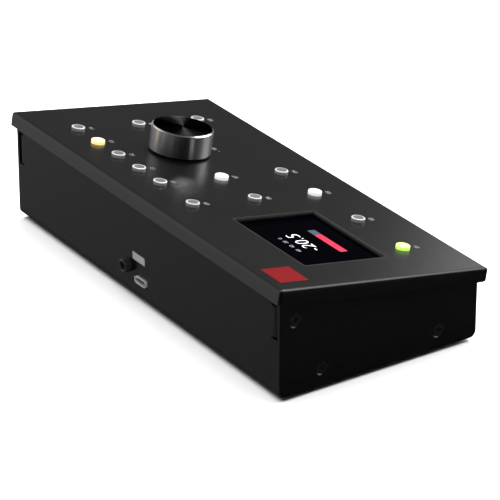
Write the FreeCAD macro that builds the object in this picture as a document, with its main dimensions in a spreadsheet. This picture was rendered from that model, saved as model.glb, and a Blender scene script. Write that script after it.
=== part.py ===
import FreeCAD, Part
import math
import os
import Sketcher

# Desktop studio monitor controller: a folded steel case with a deck that slopes towards the user,
# fourteen lit keys, a display window, a volume knob and two sockets in the rear wall.
# The user sits at -Y. +X is the user's right, +Z is up, and the feet rest on Z = 0.
# Deck axes: X across, V up the slope from the middle of the case, W out of the deck from its top face.

doc = FreeCAD.newDocument("monitor_controller")
sheet = doc.addObject("Spreadsheet::Sheet", "sizes")

# Driving dimensions in millimetres, and angles in degrees.
driving = {
    # Case
    "case_width": 210.0,
    "case_depth": 98.0,
    "deck_height": 40.6,
    "deck_tilt": 10.0,
    "cover_rear_reach": 1.8,
    "cover_front_reach": 4.9,
    "cover_skirt": 6.25,
    "cover_sheet": 1.2,
    "cover_bend": 1.5,
    "corner_gap": 0.5,
    "seam_gap": 0.25,
    "case_sheet": 1.5,
    "tray_bend": 3.0,
    "end_inset": 2.0,
    "wall_drop": 3.0,
    # Ears and tabs that hold the case together
    "ear_reach": 12.5,
    "ear_width": 14.0,
    "ear_height": 14.5,
    "relief": 1.0,
    "rear_ear_bottom": 26.5,
    "rear_ear_top": 40.0,
    "rear_screw_inset": 7.8,
    "rear_screw_z": 33.4,
    "mid_screw_inset": 20.9,
    "front_screw_inset": 19.2,
    "low_screw_z": 8.4,
    "tab_width": 11.5,
    "tab_rear_v": 21.0,
    "tab_front_v": -26.6,
    "tab_reach": 12.0,
    "tab_depth": 5.65,
    "tab_hole_inset": 8.5,
    # Screws and pillars
    "screw_diameter": 3.0,
    "thread_gap": 0.05,
    "screw_gap": 0.2,
    "flat_head_diameter": 5.6,
    "sink_depth": 1.45,
    "sink_recess": 0.25,
    "flat_screw_length": 6.0,
    "pan_head_diameter": 5.6,
    "pan_head_height": 1.9,
    "pan_screw_length": 4.0,
    "drive_width": 0.8,
    "drive_span": 2.8,
    "drive_depth": 0.8,
    "pillar_diameter": 6.0,
    # Feet
    "foot_diameter": 12.0,
    "foot_height": 2.0,
    "foot_side_inset": 17.0,
    "foot_end_inset": 13.0,
    # Main board under the deck
    "board_drop": 7.4,
    "board_thick": 1.6,
    "board_side_gap": 17.0,
    "board_front_gap": 3.0,
    "board_rear_gap": 4.0,
    "board_pillar_inset": 4.0,
    "board_pillar_mid_x": -2.0,
    "board_pillar_rear_inset": 3.5,
    "chip_width": 10.0,
    "chip_thick": 1.2,
    # Keys
    "key_rear_v": 33.0,
    "key_mid_v": 1.55,
    "key_front_v": -29.8,
    "key_right_inset": 27.25,
    "key_left_inset": 27.2,
    "key_inner_right_x": 10.75,
    "key_inner_left_x": -14.6,
    "cap_diameter": 6.0,
    "cap_rise": 2.3,
    "cap_bevel": 0.5,
    "cap_dish_rim": 0.65,
    "cap_dish_depth": 0.15,
    "cap_gap": 0.25,
    "collar_diameter": 7.8,
    "collar_thick": 0.8,
    "collar_gap": 0.2,
    "stem_diameter": 3.0,
    "stem_length": 3.1,
    "stem_gap": 0.12,
    "switch_width": 9.0,
    "switch_height": 4.0,
    "bore_depth": 3.0,
    "dome_height": 0.3,
    "lamp_length": 1.6,
    "lamp_width": 0.8,
    "lamp_height": 0.5,
    "lamp_offset": 2.6,
    # Volume knob and its encoder
    "knob_diameter": 27.2,
    "knob_top": 12.3,
    "knob_lift": 0.8,
    "knob_bevel": 0.9,
    "knob_cavity_diameter": 21.0,
    "knob_cavity_depth": 4.2,
    "shaft_diameter": 6.0,
    "shaft_top": 11.0,
    "shaft_bottom": 5.0,
    "shaft_flat": 1.5,
    "flat_bottom": 4.6,
    "shaft_gap": 0.05,
    "bushing_diameter": 7.0,
    "bushing_top": 4.2,
    "bushing_gap": 0.2,
    "encoder_width": 13.0,
    "encoder_gap": 0.2,
    "washer_diameter": 11.5,
    "washer_thick": 0.5,
    "nut_width": 10.0,
    "nut_thick": 2.0,
    "grub_height": 8.0,
    "grub_length": 6.0,
    "grub_socket": 1.5,
    # Display
    "window_inset": 20.7,
    "window_right": -32.1,
    "window_front": -16.9,
    "window_rear": 24.5,
    "glass_margin": 3.0,
    "gasket_inset": 0.5,
    "gasket_thick": 1.0,
    "glass_thick": 1.0,
    "panel_margin": 2.0,
    "panel_thick": 2.5,
    "header_length": 22.0,
    "header_width": 2.6,
    "header_v": -12.0,
    # Rear sockets and their board
    "usb_x": 0.0,
    "usb_z": 9.2,
    "usb_width": 8.94,
    "usb_height": 3.26,
    "usb_wall": 0.3,
    "usb_length": 7.3,
    "usb_proud": 0.8,
    "usb_gap": 0.45,
    "tongue_width": 6.7,
    "tongue_thick": 0.7,
    "tongue_length": 4.5,
    "jack_x": 10.4,
    "jack_z": 13.1,
    "jack_nose_diameter": 6.0,
    "jack_proud": 3.2,
    "jack_bore_diameter": 3.6,
    "jack_bore_depth": 15.0,
    "jack_width": 9.0,
    "jack_length": 12.0,
    "jack_height": 11.0,
    "jack_gap": 0.2,
    "io_board_left": -20.0,
    "io_board_right": 34.0,
    "io_board_length": 34.0,
    "io_board_gap": 0.4,
    "io_pillar_inset": 4.5,
    # Cable between the boards
    "plug_length": 12.0,
    "plug_width": 4.0,
    "plug_height": 4.5,
    "plug_x": 22.0,
    "plug_inset": 12.0,
    "cable_width": 10.0,
    "cable_thick": 0.9,
    "cable_radius": 5.0,
    "cable_lean": 50.0,
    "cable_lead": 2.0,
}

# Sizes that follow from the driving ones, so that pieces keep their place in the case.
following = {
    "cover_rear": "case_depth / 2 + cover_rear_reach",
    "cover_front": "case_depth / 2 + cover_front_reach",
    "rear_screw_y": "case_depth / 2 - rear_screw_inset",
    "mid_screw_y": "case_depth / 2 - mid_screw_inset",
    "front_screw_y": "front_screw_inset - case_depth / 2",
    "foot_x": "case_width / 2 - foot_side_inset",
    "foot_y": "case_depth / 2 - foot_end_inset",
    "board_half_width": "case_width / 2 - board_side_gap",
    "board_front": "case_depth / 2 - board_front_gap",
    "board_rear": "case_depth / 2 - board_rear_gap",
    "board_pillar_x": "board_half_width - board_pillar_inset",
    "board_pillar_front_v": "board_pillar_inset - board_front",
    "board_pillar_rear_v": "board_rear - board_pillar_rear_inset",
    "key_right_x": "case_width / 2 - key_right_inset",
    "key_left_x": "key_left_inset - case_width / 2",
    "key_pitch": "( key_right_x - key_inner_right_x ) / 4",
    "key_wide_pitch": "( key_inner_left_x - key_left_x ) / 2",
    "knob_x": "key_right_x - 2 * key_pitch",
    "window_left": "window_inset - case_width / 2",
}

for row, (alias, value) in enumerate([*driving.items(), *following.items()], start=1):
    sheet.set("A%d" % row, alias)
    sheet.set("B%d" % row, "= %s" % value if alias in following else str(value))
    sheet.setAlias("B%d" % row, alias)
doc.recompute()

size = dict(driving)
for alias in following:
    size[alias] = float(sheet.get(alias))
X_AXIS = FreeCAD.Vector(1, 0, 0)
Y_AXIS = FreeCAD.Vector(0, 1, 0)
Z_AXIS = FreeCAD.Vector(0, 0, 1)
tilt = math.radians(size["deck_tilt"])
nodes = []


# The jack nose is the rearmost point and the bend of the front skirt the foremost.
# The whole object is moved along Y so that its box is centred on the origin.
rearmost = max(
    size["case_depth"] / 2 + size["jack_proud"],
    size["cover_rear"] * math.cos(tilt) + size["cover_skirt"] * math.sin(tilt),
)
foremost = (
    (size["cover_front"] - size["cover_bend"]) * math.cos(tilt)
    - size["cover_bend"] * math.sin(tilt)
    + size["cover_bend"]
)
centre_y = (foremost - rearmost) / 2
case_place = FreeCAD.Placement(
    FreeCAD.Vector(0, centre_y, size["foot_height"]), FreeCAD.Rotation()
)
deck_place = FreeCAD.Placement(
    FreeCAD.Vector(0, centre_y, size["foot_height"] + size["deck_height"]),
    FreeCAD.Rotation(X_AXIS, size["deck_tilt"]),
)


def on_deck(x, v, w=0.0):
    """Placement at a point of the deck, turned with the deck."""
    return deck_place.multiply(FreeCAD.Placement(FreeCAD.Vector(x, v, w), FreeCAD.Rotation()))


def in_case(x, y, z, turn=None):
    """Placement at a point of the tray, measured from its underside."""
    return case_place.multiply(
        FreeCAD.Placement(FreeCAD.Vector(x, y, z), turn or FreeCAD.Rotation())
    )


def cell(text):
    """Expression with every alias read from the sheet."""
    words = []
    for word in text.split():
        words.append("sizes." + word if word in size else word)
    text = " ".join(words)
    for name in ("sin", "cos", "tan"):
        text = text.replace(name + " (", name + "(")
    return text


def new_body(label, place):
    body = doc.addObject("PartDesign::Body", label)
    body.Label = label
    body.Placement = place
    nodes.append(body)
    return body


def sketch_on(body, role, offset="0"):
    """Sketch on one of the body's own planes, moved along its normal."""
    plane = [f for f in body.Origin.OriginFeatures if f.Role == role][0]
    sketch = body.newObject("Sketcher::SketchObject", body.Name + "_sketch")
    sketch.AttachmentSupport = [(plane, "")]
    sketch.MapMode = "FlatFace"
    sketch.setExpression(".AttachmentOffset.Base.z", cell(offset))
    return sketch


def pin_point(sketch, edge, end, across, up, drawn=(1.0, 1.0)):
    """Fix a point by two expressions; drawn is where the rough sketch has it."""
    for kind, text, value in (("DistanceX", across, drawn[0]), ("DistanceY", up, drawn[1])):
        index = sketch.addConstraint(Sketcher.Constraint(kind, edge, end, value))
        sketch.setExpression("Constraints[%d]" % index, cell(text))


def polygon(sketch, corners):
    """Closed outline through corners, each given as two expressions."""
    count = len(corners)
    first = sketch.GeometryCount
    for i in range(count):
        angle = 2 * math.pi * i / count
        turn = 2 * math.pi * (i + 1) / count
        start = FreeCAD.Vector(math.cos(angle), math.sin(angle), 0)
        stop = FreeCAD.Vector(math.cos(turn), math.sin(turn), 0)
        sketch.addGeometry(Part.LineSegment(start, stop), False)
    for i in range(count):
        after = first + (i + 1) % count
        sketch.addConstraint(Sketcher.Constraint("Coincident", first + i, 2, after, 1))
    for i, (across, up) in enumerate(corners):
        pin_point(sketch, first + i, 1, across, up)


def rectangle(sketch, left, right, low, high):
    polygon(sketch, [(left, low), (right, low), (right, high), (left, high)])


def circle(sketch, across, up, diameter):
    index = sketch.addGeometry(Part.Circle(FreeCAD.Vector(0, 0, 0), Z_AXIS, 1.0), False)
    pin_point(sketch, index, 3, across, up)
    datum = sketch.addConstraint(Sketcher.Constraint("Diameter", index, 2.0))
    sketch.setExpression("Constraints[%d]" % datum, cell(diameter))


def stadium(sketch, width, height):
    """Slot shape with round ends, centred on the sketch's origin."""
    reach = "( %s - %s ) / 2" % (width, height)
    radius = "( %s ) / 2" % height
    lines = []
    for sign in (-1, 1):
        start = FreeCAD.Vector(sign, sign, 0)
        stop = FreeCAD.Vector(-sign, sign, 0)
        lines.append(sketch.addGeometry(Part.LineSegment(start, stop), False))
    ends = ((lines[0], "- ", "- "), (lines[1], "", ""))
    for line, across, up in ends:
        back = "" if across else "- "
        side = -1.0 if up else 1.0
        pin_point(sketch, line, 1, across + reach, up + radius, (side, side))
        pin_point(sketch, line, 2, back + reach, up + radius, (-side, side))
    for turn, first, second in ((-math.pi / 2, lines[0], lines[1]), (math.pi / 2, lines[1], lines[0])):
        side = 1.0 if turn < 0 else -1.0
        middle = FreeCAD.Vector(side, 0, 0)
        circle_part = Part.Circle(middle, Z_AXIS, 1.0)
        arc = sketch.addGeometry(Part.ArcOfCircle(circle_part, turn, turn + math.pi), False)
        sketch.addConstraint(Sketcher.Constraint("Coincident", arc, 1, first, 2))
        sketch.addConstraint(Sketcher.Constraint("Coincident", arc, 2, second, 1))
        datum = sketch.addConstraint(Sketcher.Constraint("DistanceX", arc, 3, side))
        sketch.setExpression("Constraints[%d]" % datum, cell(("" if turn < 0 else "- ") + reach))


def pad(body, sketch, length, back=False, both=False):
    feature = body.newObject("PartDesign::Pad", body.Name + "_pad")
    feature.Profile = sketch
    feature.setExpression("Length", cell(length))
    feature.Reversed = back
    feature.Midplane = both
    sketch.Visibility = False
    doc.recompute()
    return feature


def pocket(body, sketch, length, back=False, both=False):
    """Cut that fails loudly when it removes nothing."""
    before = body.Shape.Volume
    feature = body.newObject("PartDesign::Pocket", body.Name + "_pocket")
    feature.Profile = sketch
    feature.setExpression("Length", cell(length))
    feature.Reversed = back
    feature.Midplane = both
    sketch.Visibility = False
    doc.recompute()
    if body.Shape.Volume > before - 1e-6:
        raise RuntimeError(body.Label + ": a cut removed nothing")
    return feature


def revolve(body, sketch, axis="V_Axis"):
    feature = body.newObject("PartDesign::Revolution", body.Name + "_turned")
    feature.Profile = sketch
    feature.ReferenceAxis = (sketch, [axis])
    feature.Angle = 360
    sketch.Visibility = False
    doc.recompute()
    return feature


def edge_names(body, test):
    """Names of the tip's edges whose middle and direction pass the test, in body axes."""
    names = []
    for i, edge in enumerate(body.Tip.Shape.Edges, start=1):
        middle = edge.valueAt((edge.FirstParameter + edge.LastParameter) / 2)
        if test(middle, edge):
            names.append("Edge%d" % i)
    return names


def round_edges(body, test, radius, kind="PartDesign::Fillet", prop="Radius"):
    names = edge_names(body, test)
    if not names:
        raise RuntimeError(body.Label + ": no edge to round")
    base = body.Tip
    feature = body.newObject(kind, body.Name + "_edge")
    feature.Base = (base, names)
    feature.setExpression(prop, cell(radius))
    doc.recompute()
    return feature


def bevel_edges(body, test, length):
    return round_edges(body, test, length, "PartDesign::Chamfer", "Size")


def near(a, b, slack=0.02):
    return abs(a - b) < slack


def runs_along(edge, axis):
    """True for a straight edge parallel to the axis."""
    if not isinstance(edge.Curve, (Part.Line, Part.LineSegment)):
        return False
    direction = edge.tangentAt(edge.FirstParameter)
    return abs(abs(direction.dot(axis)) - 1) < 1e-4


def group(label, form, places):
    """Node that holds one copy of the same form at each place."""
    copies = []
    for place in places:
        copy = form.copy()
        copy.Placement = place.multiply(form.Placement)
        copies.append(copy)
    feature = doc.addObject("Part::Feature", label)
    feature.Label = label
    feature.Shape = Part.makeCompound(copies)
    nodes.append(feature)
    return feature


# Sizes that several pieces share.
outer_x = size["case_width"] / 2
panel_x = outer_x - size["end_inset"]
tray_x = panel_x - size["case_sheet"]
board_top = -size["board_drop"]
board_under = board_top - size["board_thick"]
lid_under = -size["cover_sheet"]

key_columns = [size["key_right_x"] - i * size["key_pitch"] for i in range(5)]
left_columns = [size["key_left_x"] + i * size["key_wide_pitch"] for i in range(3)]
inner_right = key_columns[4]
inner_left = left_columns[2]
chip_places = [(30.0, -12.0), (50.0, -12.0), (-40.0, 8.0)]

key_places = [
    (left_columns[0], "key_front_v"),
    (left_columns[1], "key_front_v"),
    (inner_left, "key_front_v"),
    (inner_right, "key_front_v"),
    (key_columns[0], "key_front_v"),
    (inner_left, "key_mid_v"),
    (inner_right, "key_mid_v"),
    (key_columns[0], "key_mid_v"),
    (inner_left, "key_rear_v"),
    (key_columns[4], "key_rear_v"),
    (key_columns[3], "key_rear_v"),
    (key_columns[2], "key_rear_v"),
    (key_columns[1], "key_rear_v"),
    (key_columns[0], "key_rear_v"),
]


def to_deck(y, z):
    """Deck coordinates of a point given in the tray's own Y and Z, as expressions."""
    v = "( %s ) * cos ( deck_tilt ) + ( %s - deck_height ) * sin ( deck_tilt )" % (y, z)
    w = "- ( %s ) * sin ( deck_tilt ) + ( %s - deck_height ) * cos ( deck_tilt )" % (y, z)
    return v, w


def wall_top(y):
    """Height above the tray's underside where a wall at Y ends under the deck."""
    return "deck_height + ( %s ) * tan ( deck_tilt ) - wall_drop / cos ( deck_tilt )" % y


def make_tray():
    body = new_body("base_tray", case_place)
    half = "case_depth / 2"
    section = sketch_on(body, "YZ_Plane")
    polygon(section, [
        ("- " + half, "0"),
        (half, "0"),
        (half, wall_top(half)),
        ("- " + half, wall_top("- " + half)),
    ])
    pad(body, section, "case_width - 2 * end_inset - 2 * case_sheet", both=True)
    round_edges(body, lambda p, e: runs_along(e, X_AXIS) and near(p.z, 0), "tray_bend")

    inside = sketch_on(body, "YZ_Plane")
    polygon(inside, [
        ("- case_depth / 2 + case_sheet", "case_sheet"),
        ("case_depth / 2 - case_sheet", "case_sheet"),
        ("case_depth / 2 - case_sheet", "2 * deck_height"),
        ("- case_depth / 2 + case_sheet", "2 * deck_height"),
    ])
    pocket(body, inside, "case_width", both=True)
    round_edges(
        body,
        lambda p, e: runs_along(e, X_AXIS) and near(p.z, size["case_sheet"]),
        "tray_bend - case_sheet",
    )

    # Ears turned in from the rear wall and up from the floor, behind each end panel.
    for offset in (
        "case_width / 2 - end_inset - 2 * case_sheet",
        "- case_width / 2 + end_inset + case_sheet",
    ):
        ears = sketch_on(body, "YZ_Plane", offset)
        rectangle(ears, "case_depth / 2 - ear_reach", half, "rear_ear_bottom", "rear_ear_top")
        for y in ("mid_screw_y", "front_screw_y"):
            rectangle(ears, y + " - ear_width / 2", y + " + ear_width / 2", "0", "ear_height")
        pad(body, ears, "case_sheet")

    slots = sketch_on(body, "XZ_Plane", "- case_depth / 2")
    inner = "case_width / 2 - end_inset - case_sheet - tray_bend - relief"
    outer = "case_width / 2"
    for low, high in (
        ("rear_ear_bottom - relief", "rear_ear_bottom"),
        ("rear_ear_top", "rear_ear_top + relief"),
    ):
        rectangle(slots, inner, outer, low, high)
        rectangle(slots, "- ( %s )" % outer, "- ( %s )" % inner, low, high)
    pocket(body, slots, "4 * case_sheet", both=True)

    floor_slots = sketch_on(body, "XY_Plane")
    for y in ("mid_screw_y", "front_screw_y"):
        for low, high in (
            (y + " - ear_width / 2 - relief", y + " - ear_width / 2"),
            (y + " + ear_width / 2", y + " + ear_width / 2 + relief"),
        ):
            rectangle(floor_slots, inner, outer, low, high)
            rectangle(floor_slots, "- ( %s )" % outer, "- ( %s )" % inner, low, high)
    pocket(body, floor_slots, "4 * case_sheet", both=True)

    wall_y = size["case_depth"] / 2
    ear_middle = (size["rear_ear_bottom"] + size["rear_ear_top"]) / 2
    ear_reach_z = (size["rear_ear_top"] - size["rear_ear_bottom"]) / 2
    round_edges(
        body,
        lambda p, e: runs_along(e, Z_AXIS) and near(abs(p.x), tray_x) and near(p.y, wall_y)
        and abs(p.z - ear_middle) < ear_reach_z,
        "tray_bend",
    )
    round_edges(
        body,
        lambda p, e: runs_along(e, Z_AXIS) and near(abs(p.x), tray_x - size["case_sheet"])
        and near(p.y, wall_y - size["case_sheet"]) and abs(p.z - ear_middle) < ear_reach_z,
        "tray_bend - case_sheet",
    )

    def by_low_ear(y):
        return any(
            abs(y - size[name]) < size["ear_width"] / 2
            for name in ("mid_screw_y", "front_screw_y")
        )

    round_edges(
        body,
        lambda p, e: runs_along(e, Y_AXIS) and near(abs(p.x), tray_x) and near(p.z, 0)
        and by_low_ear(p.y),
        "tray_bend",
    )
    round_edges(
        body,
        lambda p, e: runs_along(e, Y_AXIS) and near(abs(p.x), tray_x - size["case_sheet"])
        and near(p.z, size["case_sheet"]) and by_low_ear(p.y),
        "tray_bend - case_sheet",
    )

    holes = sketch_on(body, "YZ_Plane")
    for y, z in (
        ("rear_screw_y", "rear_screw_z"),
        ("mid_screw_y", "low_screw_z"),
        ("front_screw_y", "low_screw_z"),
    ):
        circle(holes, y, z, "screw_diameter + 2 * thread_gap")
    pocket(body, holes, "case_width", both=True)

    ports = sketch_on(body, "XZ_Plane", "- case_depth / 2")
    rectangle(
        ports,
        "usb_x - usb_width / 2 - usb_gap", "usb_x + usb_width / 2 + usb_gap",
        "usb_z - usb_height / 2 - usb_gap", "usb_z + usb_height / 2 + usb_gap",
    )
    circle(ports, "jack_x", "jack_z", "jack_nose_diameter + 2 * jack_gap")
    pocket(body, ports, "4 * case_sheet", both=True)
    usb_half = size["usb_width"] / 2 + size["usb_gap"]
    round_edges(
        body,
        lambda p, e: runs_along(e, Y_AXIS) and near(abs(p.x - size["usb_x"]), usb_half)
        and near(p.y, wall_y - size["case_sheet"] / 2),
        "usb_height / 2",
    )
    return body


def make_panel(label, side):
    """End panel; side is 1 for the user's right and -1 for the left."""
    body = new_body(label, deck_place)
    face = "case_width / 2 - end_inset"
    right = side > 0
    half = "case_depth / 2"
    edge_v = "( %s - wall_drop * sin ( deck_tilt ) ) / cos ( deck_tilt )"
    plate = sketch_on(body, "YZ_Plane", face + " - case_sheet" if right else left_face())
    polygon(plate, [
        to_deck("- " + half, "0"),
        to_deck(half, "0"),
        (edge_v % half, "- wall_drop"),
        (edge_v % ("- " + half), "- wall_drop"),
    ])
    pad(body, plate, "case_sheet")
    corners = [panel_corner(y) for y in (-size["case_depth"] / 2, size["case_depth"] / 2)]
    round_edges(
        body,
        lambda p, e: runs_along(e, X_AXIS)
        and any(near(p.y, v) and near(p.z, w) for v, w in corners),
        "tray_bend",
    )

    # Two tabs turned in under the deck, each between two relief slots.
    low = "- tab_depth - tray_bend"
    high = "- wall_drop + relief"
    slots = sketch_on(body, "YZ_Plane", face if right else left_face())
    for v in ("tab_rear_v", "tab_front_v"):
        front = v + " - tab_width / 2"
        rear = v + " + tab_width / 2"
        polygon(slots, [
            (front + " - relief", high),
            (front + " - relief", low),
            (front, low),
            (front, "- tab_depth"),
            (rear, "- tab_depth"),
            (rear, low),
            (rear + " + relief", low),
            (rear + " + relief", high),
        ])
    pocket(body, slots, "4 * case_sheet", both=True)
    tabs = sketch_on(body, "YZ_Plane", face + " - tab_reach" if right else left_face())
    for v in ("tab_rear_v", "tab_front_v"):
        rectangle(
            tabs,
            v + " - tab_width / 2", v + " + tab_width / 2",
            "- tab_depth - case_sheet", "- tab_depth",
        )
    pad(body, tabs, "tab_reach")
    round_edges(
        body,
        lambda p, e: runs_along(e, Y_AXIS) and near(p.x, side * panel_x)
        and near(p.z, -size["tab_depth"]),
        "tray_bend",
    )
    round_edges(
        body,
        lambda p, e: runs_along(e, Y_AXIS) and near(p.x, side * tray_x)
        and near(p.z, -size["tab_depth"] - size["case_sheet"]),
        "tray_bend - case_sheet",
    )

    holes = sketch_on(body, "XY_Plane", "- tab_depth")
    for v in ("tab_rear_v", "tab_front_v"):
        sign = "" if right else "- "
        circle(holes, sign + "( %s - tab_hole_inset )" % face, v, "screw_diameter + 2 * screw_gap")
    pocket(body, holes, "4 * case_sheet", both=True)

    screws = sketch_on(body, "YZ_Plane", face if right else left_face())
    for y, z in (
        ("rear_screw_y", "rear_screw_z"),
        ("mid_screw_y", "low_screw_z"),
        ("front_screw_y", "low_screw_z"),
    ):
        v, w = to_deck(y, z)
        circle(screws, v, w, "screw_diameter + 4 * screw_gap")
    pocket(body, screws, "4 * case_sheet", both=True)
    bevel_edges(
        body,
        lambda p, e: isinstance(e.Curve, Part.Circle) and near(p.x, side * panel_x)
        and near(e.Curve.Radius, size["screw_diameter"] / 2 + 2 * size["screw_gap"]),
        "sink_depth",
    )
    return body


def left_face():
    return "- case_width / 2 + end_inset"


def panel_corner(y):
    """Deck coordinates of the panel's lower corner at Y."""
    drop = -size["deck_height"]
    v = y * math.cos(tilt) + drop * math.sin(tilt)
    w = -y * math.sin(tilt) + drop * math.cos(tilt)
    return v, w


def make_cover():
    body = new_body("top_cover", deck_place)
    outline = sketch_on(body, "XY_Plane", "- cover_skirt")
    rectangle(outline, "- case_width / 2", "case_width / 2", "- cover_front", "cover_rear")
    pad(body, outline, "cover_skirt")
    round_edges(
        body,
        lambda p, e: near(p.z, 0) and isinstance(e.Curve, (Part.Line, Part.LineSegment)),
        "cover_bend",
    )
    inside = sketch_on(body, "XY_Plane", "- cover_skirt")
    rectangle(
        inside,
        "- case_width / 2 + cover_sheet", "case_width / 2 - cover_sheet",
        "- cover_front + cover_sheet", "cover_rear - cover_sheet",
    )
    pocket(body, inside, "cover_skirt - cover_sheet", back=True)
    round_edges(
        body,
        lambda p, e: near(p.z, lid_under) and isinstance(e.Curve, (Part.Line, Part.LineSegment)),
        "cover_bend - cover_sheet",
    )

    # The skirts are folded down one by one, so each corner is open: the front and rear skirts
    # run past the edges of the end skirts and stop short of their outer faces.
    corners = sketch_on(body, "XY_Plane", "- cover_skirt")
    inner = "case_width / 2 - cover_sheet - seam_gap"
    stop = "case_width / 2 - corner_gap"
    beyond = "case_width / 2 + corner_gap"
    for sign in ("", "- "):
        for tip, face, end in (
            ("cover_rear", "cover_rear - cover_sheet", "cover_rear - cover_sheet - seam_gap"),
            ("- cover_front", "- cover_front + cover_sheet", "- cover_front + cover_sheet + seam_gap"),
        ):
            past = tip + (" - corner_gap" if tip.startswith("-") else " + corner_gap")
            polygon(corners, [
                (sign + "( %s )" % inner, face),
                (sign + "( %s )" % stop, face),
                (sign + "( %s )" % stop, past),
                (sign + "( %s )" % beyond, past),
                (sign + "( %s )" % beyond, end),
                (sign + "( %s )" % inner, end),
            ])
    pocket(body, corners, "cover_skirt", back=True)

    openings = sketch_on(body, "XY_Plane")
    rectangle(openings, "window_left", "window_right", "window_front", "window_rear")
    for x, v in key_places:
        circle(openings, str(x), v, "cap_diameter + 2 * cap_gap")
    circle(openings, "knob_x", "key_mid_v", "bushing_diameter + 2 * bushing_gap")
    pocket(body, openings, "4 * cover_sheet", both=True)
    return body


def cross_slot(depth):
    """Cross recess that opens upwards at the origin."""
    span = size["drive_span"]
    width = size["drive_width"]
    one = Part.makeBox(span, width, depth, FreeCAD.Vector(-span / 2, -width / 2, -depth))
    two = Part.makeBox(width, span, depth, FreeCAD.Vector(-width / 2, -span / 2, -depth))
    return one.fuse(two)


def flat_screw():
    """Countersunk screw, head up, with the head's face at the origin."""
    head = size["flat_head_diameter"] / 2
    shank = size["screw_diameter"] / 2
    cone = Part.makeCone(shank, head, head - shank, FreeCAD.Vector(0, 0, shank - head))
    body = Part.makeCylinder(shank, size["flat_screw_length"] - (head - shank))
    body.translate(FreeCAD.Vector(0, 0, -size["flat_screw_length"]))
    return cone.fuse(body).removeSplitter().cut(cross_slot(size["drive_depth"]))


def pan_screw():
    """Pan head screw, head up, with the underside of the head at the origin."""
    head = size["pan_head_diameter"] / 2
    height = size["pan_head_height"]
    cap = Part.makeCylinder(head, height)
    top = [e for e in cap.Edges if isinstance(e.Curve, Part.Circle) and near(e.Curve.Center.z, height)]
    cap = cap.makeFillet(height / 2, top)
    shank = Part.makeCylinder(size["screw_diameter"] / 2, size["pan_screw_length"])
    shank.translate(FreeCAD.Vector(0, 0, -size["pan_screw_length"]))
    drive = cross_slot(size["drive_depth"])
    drive.translate(FreeCAD.Vector(0, 0, height))
    return cap.fuse(shank).removeSplitter().cut(drive)


def pillar(length):
    """Pillar that hangs down from the origin, with a blind hole from below."""
    wall = size["cover_sheet"]
    outside = Part.makeCylinder(size["pillar_diameter"] / 2, length)
    hole = Part.makeCylinder(size["screw_diameter"] / 2 + size["thread_gap"], length - wall)
    solid = outside.cut(hole)
    solid.translate(FreeCAD.Vector(0, 0, -length))
    return solid


def facing(direction):
    return FreeCAD.Rotation(Z_AXIS, direction)


DOWN = FreeCAD.Placement(FreeCAD.Vector(), FreeCAD.Rotation(X_AXIS, 180))


def make_fasteners():
    screw = flat_screw()
    places = []
    for side in (1, -1):
        for y, z in (
            ("rear_screw_y", "rear_screw_z"),
            ("mid_screw_y", "low_screw_z"),
            ("front_screw_y", "low_screw_z"),
        ):
            x = side * (panel_x - size["sink_recess"])
            places.append(in_case(x, size[y], size[z], facing(X_AXIS * side)))
    group("end_screws", screw, places)

    tab_x = panel_x - size["tab_hole_inset"]
    tab_places = [(x, size[v]) for x in (tab_x, -tab_x) for v in ("tab_rear_v", "tab_front_v")]
    length = size["tab_depth"] - size["cover_sheet"]
    group("cover_pillars", pillar(length), [on_deck(x, v, lid_under) for x, v in tab_places])
    tab_under = -size["tab_depth"] - size["case_sheet"]
    short = [on_deck(x, v, tab_under).multiply(DOWN) for x, v in tab_places]
    group("cover_screws", pan_screw(), short)


def make_feet():
    radius = size["foot_diameter"] / 2
    foot = Part.makeCone(radius - size["foot_height"] / 4, radius, size["foot_height"])
    x = size["foot_x"]
    y = size["foot_y"]
    low = -size["foot_height"]
    group("feet", foot, [in_case(i * x, j * y, low) for i in (1, -1) for j in (1, -1)])


def board_points():
    rows = (size["board_pillar_front_v"], size["board_pillar_rear_v"])
    columns = (-size["board_pillar_x"], size["board_pillar_mid_x"], size["board_pillar_x"])
    return [(x, v) for x in columns for v in rows]


def make_main_board():
    body = new_body("main_board", deck_place)
    outline = sketch_on(body, "XY_Plane", "- board_drop - board_thick")
    rectangle(outline, "- board_half_width", "board_half_width", "- board_front", "board_rear")
    pad(body, outline, "board_thick")
    holes = sketch_on(body, "XY_Plane", "- board_drop")
    for x in ("- board_pillar_x", "board_pillar_mid_x", "board_pillar_x"):
        for v in ("board_pillar_front_v", "board_pillar_rear_v"):
            circle(holes, x, v, "screw_diameter + 2 * screw_gap")
    pocket(body, holes, "4 * board_thick", both=True)
    length = size["board_drop"] - size["cover_sheet"]
    group("board_pillars", pillar(length), [on_deck(x, v, lid_under) for x, v in board_points()])
    heads = [on_deck(x, v, board_under).multiply(DOWN) for x, v in board_points()]
    group("board_screws", pan_screw(), heads)

    width = size["chip_width"]
    thick = size["chip_thick"]
    chip = Part.makeBox(width, width, thick, FreeCAD.Vector(-width / 2, -width / 2, -thick))
    group("board_chips", chip, [on_deck(x, v, board_under) for x, v in chip_places])


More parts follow.
